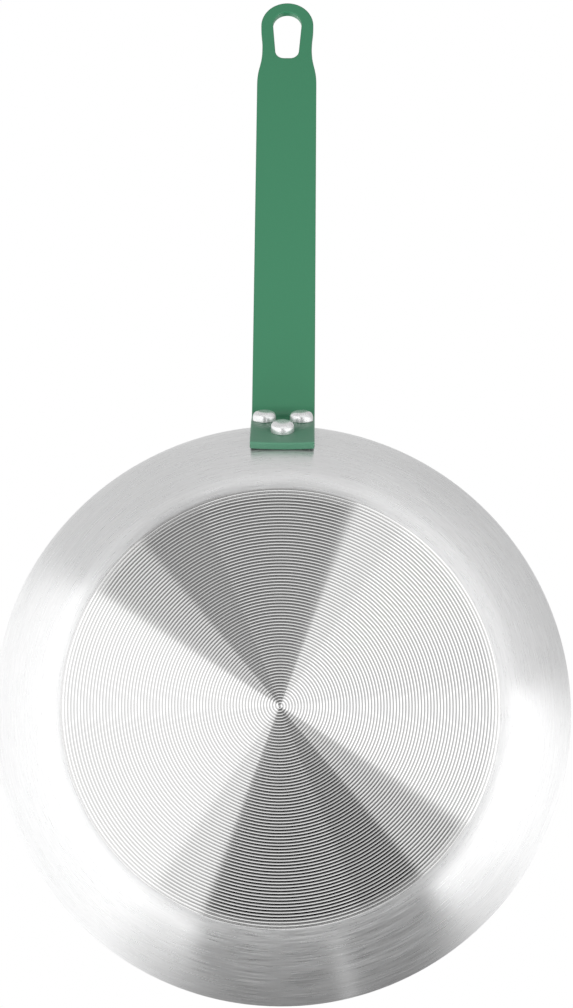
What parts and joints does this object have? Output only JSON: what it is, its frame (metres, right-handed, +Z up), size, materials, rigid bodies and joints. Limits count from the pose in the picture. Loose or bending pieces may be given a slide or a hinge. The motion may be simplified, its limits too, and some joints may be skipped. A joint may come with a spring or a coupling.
{
  "type": "frying pan",
  "caption": "Round frying pan with flared brushed aluminium sides, a flat spiral-turned base and a green coated strip handle with a hanging hole, riveted to the wall.",
  "frame": {"origin": "centre of the flat underside of the base, where the pan stands on a hob", "axes": "+Z up out of the pan's mouth, +X from the pan's axis towards the handle's tip, +Y across the handle"},
  "size_m": [0.518, 0.28, 0.1048],
  "materials": {
    "brushed_aluminium": "brushed round the sides, turned in a fine spiral under the base",
    "green_powder_coat": "smooth satin powder coat on steel strip",
    "rivet_aluminium": "satin, as upset",
    "nonstick_coat": "dark satin non-stick coat on the inside of the body, finely speckled"
  },
  "bodies": {
    "root": {"pan_body": "brushed_aluminium", "handle": "green_powder_coat", "rivet_left": "rivet_aluminium", "rivet_right": "rivet_aluminium", "rivet_lower": "rivet_aluminium"}
  },
  "joints": []
}
